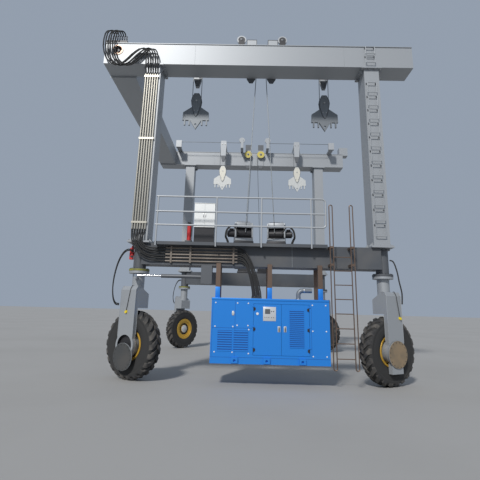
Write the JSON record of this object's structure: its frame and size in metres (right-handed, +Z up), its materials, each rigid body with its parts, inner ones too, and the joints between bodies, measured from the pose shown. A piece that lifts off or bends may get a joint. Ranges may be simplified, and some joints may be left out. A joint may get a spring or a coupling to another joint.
{
  "type": "rubber tyred gantry crane",
  "caption": "Mobile boat and container hoist: portal frame on steered wheels with rope hoists, lifting heads, hung power pack, service deck and ladder.",
  "frame": {"origin": "on the ground, at the middle of the outline", "axes": "+X along the side frames to the open end, +Y across to the far frame, +Z up"},
  "size_m": [9, 9.22, 9.534],
  "materials": {
    "grey_paint": "satin grey paint with dust",
    "dark_grey_paint": "satin dark grey paint",
    "rail_paint": "satin grey paint",
    "rusty_steel": "rusty primed steel",
    "pipe_steel": "dull cream steel pipe",
    "black_steel": "matt black",
    "red_paint": "gloss red",
    "blue_paint": "bright blue powder coat",
    "bare_steel": "dull bare steel",
    "white_paint": "white powder coat",
    "winch_paint": "dark grey paint",
    "wire_rope": "greased steel wire",
    "light_paint": "light grey paint",
    "chrome": "polished rod",
    "yellow_paint": "worn yellow paint",
    "tyre_rubber": "dusty black rubber",
    "hose_rubber": "black hydraulic hose",
    "cream_paint": "cream paint"
  },
  "bodies": {
    "frame": {"near_girder": "grey_paint", "far_girder": "grey_paint", "cross_girder": "grey_paint", "legs": "grey_paint", "corner_tubes": "dark_grey_paint", "lower_beams": "grey_paint", "deck": "grey_paint", "handrail": "rail_paint", "ladder": "rusty_steel", "leg_steps": "grey_paint", "leg_pipes": "pipe_steel", "beam_pipes": "pipe_steel", "hose_manifold": "black_steel", "warning_horn": "red_paint", "pack_skid": "blue_paint", "pack_housing": "blue_paint", "pack_hangers": "rusty_steel", "exhaust_pipe": "bare_steel", "cabinet": "white_paint", "extinguisher": "red_paint", "winches": "winch_paint", "winch_ropes": "wire_rope", "centre_sheaves": "winch_paint", "rope_anchors": "light_paint", "top_ropes": "wire_rope", "steering_barrel": "dark_grey_paint", "hose_leg_bundle": "hose_rubber", "hose_pack_bundle": "hose_rubber", "hose_top_bundle": "hose_rubber", "hose_wheels": "hose_rubber", "hose_winches": "hose_rubber"},
    "pack_door_left": {"pack_door_left": "blue_paint"},
    "pack_door_right": {"pack_door_right": "blue_paint"},
    "cabinet_door_left": {"cabinet_door_left": "white_paint"},
    "cabinet_door_right": {"cabinet_door_right": "white_paint"},
    "steering_rod": {"steering_rod": "chrome"},
    "yoke_near_left": {"yoke_near_left": "grey_paint"},
    "wheel_near_left": {"rim_near_left": "yellow_paint", "tyre_near_left": "tyre_rubber"},
    "trolley_near_left": {"trolley_near_left": "light_paint", "hoist_ropes_near_left": "wire_rope"},
    "hook_near_left": {"hook_block_near_left": "winch_paint"},
    "yoke_near_right": {"yoke_near_right": "grey_paint"},
    "wheel_near_right": {"rim_near_right": "yellow_paint", "tyre_near_right": "tyre_rubber"},
    "trolley_near_right": {"trolley_near_right": "light_paint", "hoist_ropes_near_right": "wire_rope"},
    "hook_near_right": {"hook_block_near_right": "winch_paint"},
    "yoke_far_left": {"yoke_far_left": "grey_paint"},
    "wheel_far_left": {"rim_far_left": "yellow_paint", "tyre_far_left": "tyre_rubber"},
    "trolley_far_left": {"trolley_far_left": "light_paint", "hoist_ropes_far_left": "wire_rope"},
    "hook_far_left": {"hook_block_far_left": "cream_paint"},
    "yoke_far_right": {"yoke_far_right": "grey_paint"},
    "wheel_far_right": {"rim_far_right": "yellow_paint", "tyre_far_right": "tyre_rubber"},
    "trolley_far_right": {"trolley_far_right": "light_paint", "hoist_ropes_far_right": "wire_rope"},
    "hook_far_right": {"hook_block_far_right": "cream_paint"}
  },
  "joints": [
    {"name": "pack_door_left_hinge", "type": "hinge", "parent": "frame", "child": "pack_door_left", "pos_m": [-0.133, -4.56902, 0.7], "axis": [0, 0, -1], "range_deg": [0, 110]},
    {"name": "pack_door_right_hinge", "type": "hinge", "parent": "frame", "child": "pack_door_right", "pos_m": [1.133, -4.56902, 0.7], "axis": [0, 0, 1], "range_deg": [0, 110]},
    {"name": "cabinet_door_left_hinge", "type": "hinge", "parent": "frame", "child": "cabinet_door_left", "pos_m": [-1.725, -3.93502, 3.752], "axis": [0, 0, -1], "range_deg": [0, 110]},
    {"name": "cabinet_door_right_hinge", "type": "hinge", "parent": "frame", "child": "cabinet_door_right", "pos_m": [-1.185, -3.93502, 3.752], "axis": [0, 0, 1], "range_deg": [0, 110]},
    {"name": "steer_near_left", "type": "hinge", "parent": "frame", "child": "yoke_near_left", "pos_m": [-3.05, -3.95502, 2.2], "axis": [0, 0, 1], "range_deg": [-19, 81]},
    {"name": "roll_near_left", "type": "hinge", "parent": "yoke_near_left", "child": "wheel_near_left", "pos_m": [-3.05, -3.95502, 0.8], "axis": [-0.515, -0.8572, 0], "continuous": true},
    {"name": "travel_near_left", "type": "slide", "parent": "frame", "child": "trolley_near_left", "axis": [1, 0, 0], "range_m": [-1.3, 1.1]},
    {"name": "hoist_near_left", "type": "slide", "parent": "trolley_near_left", "child": "hook_near_left", "axis": [0, 0, 1], "range_m": [-5.9, 0], "deforming": ["hoist_ropes_near_left"]},
    {"name": "steer_near_right", "type": "hinge", "parent": "frame", "child": "yoke_near_right", "pos_m": [3.11, -3.95502, 2.2], "axis": [0, 0, 1], "range_deg": [-79, 21]},
    {"name": "roll_near_right", "type": "hinge", "parent": "yoke_near_right", "child": "wheel_near_right", "pos_m": [3.11, -3.95502, 0.8], "axis": [0.4848, -0.8746, 0], "continuous": true},
    {"name": "travel_near_right", "type": "slide", "parent": "frame", "child": "trolley_near_right", "axis": [1, 0, 0], "range_m": [-1.1, 1.3]},
    {"name": "hoist_near_right", "type": "slide", "parent": "trolley_near_right", "child": "hook_near_right", "axis": [0, 0, 1], "range_m": [-5.9, 0], "deforming": ["hoist_ropes_near_right"]},
    {"name": "steer_far_left", "type": "hinge", "parent": "frame", "child": "yoke_far_left", "pos_m": [-3.05, 3.92498, 2.2], "axis": [0, 0, 1], "range_deg": [-100, 0]},
    {"name": "roll_far_left", "type": "hinge", "parent": "yoke_far_left", "child": "wheel_far_left", "pos_m": [-3.05, 3.92498, 0.8], "axis": [-0.766, 0.6428, 0], "continuous": true},
    {"name": "travel_far_left", "type": "slide", "parent": "frame", "child": "trolley_far_left", "axis": [1, 0, 0], "range_m": [-1.8, 0.6]},
    {"name": "hoist_far_left", "type": "slide", "parent": "trolley_far_left", "child": "hook_far_left", "axis": [0, 0, 1], "range_m": [-5.9, 0], "deforming": ["hoist_ropes_far_left"]},
    {"name": "steer_far_right", "type": "hinge", "parent": "frame", "child": "yoke_far_right", "pos_m": [3.11, 3.92498, 2.2], "axis": [0, 0, 1], "range_deg": [-6, 94]},
    {"name": "roll_far_right", "type": "hinge", "parent": "yoke_far_right", "child": "wheel_far_right", "pos_m": [3.11, 3.92498, 0.8], "axis": [0.6947, 0.7193, 0], "continuous": true},
    {"name": "travel_far_right", "type": "slide", "parent": "frame", "child": "trolley_far_right", "axis": [1, 0, 0], "range_m": [-1.1, 1.3]},
    {"name": "hoist_far_right", "type": "slide", "parent": "trolley_far_right", "child": "hook_far_right", "axis": [0, 0, 1], "range_m": [-5.9, 0], "deforming": ["hoist_ropes_far_right"]},
    {"name": "steering_rod_slide", "type": "slide", "parent": "frame", "child": "steering_rod", "axis": [1, 0, 0], "range_m": [-0.0696, 0.2968]}
  ],
  "couplings": [
    {"joint": "steering_rod_slide", "follows": "steer_near_left", "m_per_rad": 0.21}
  ]
}
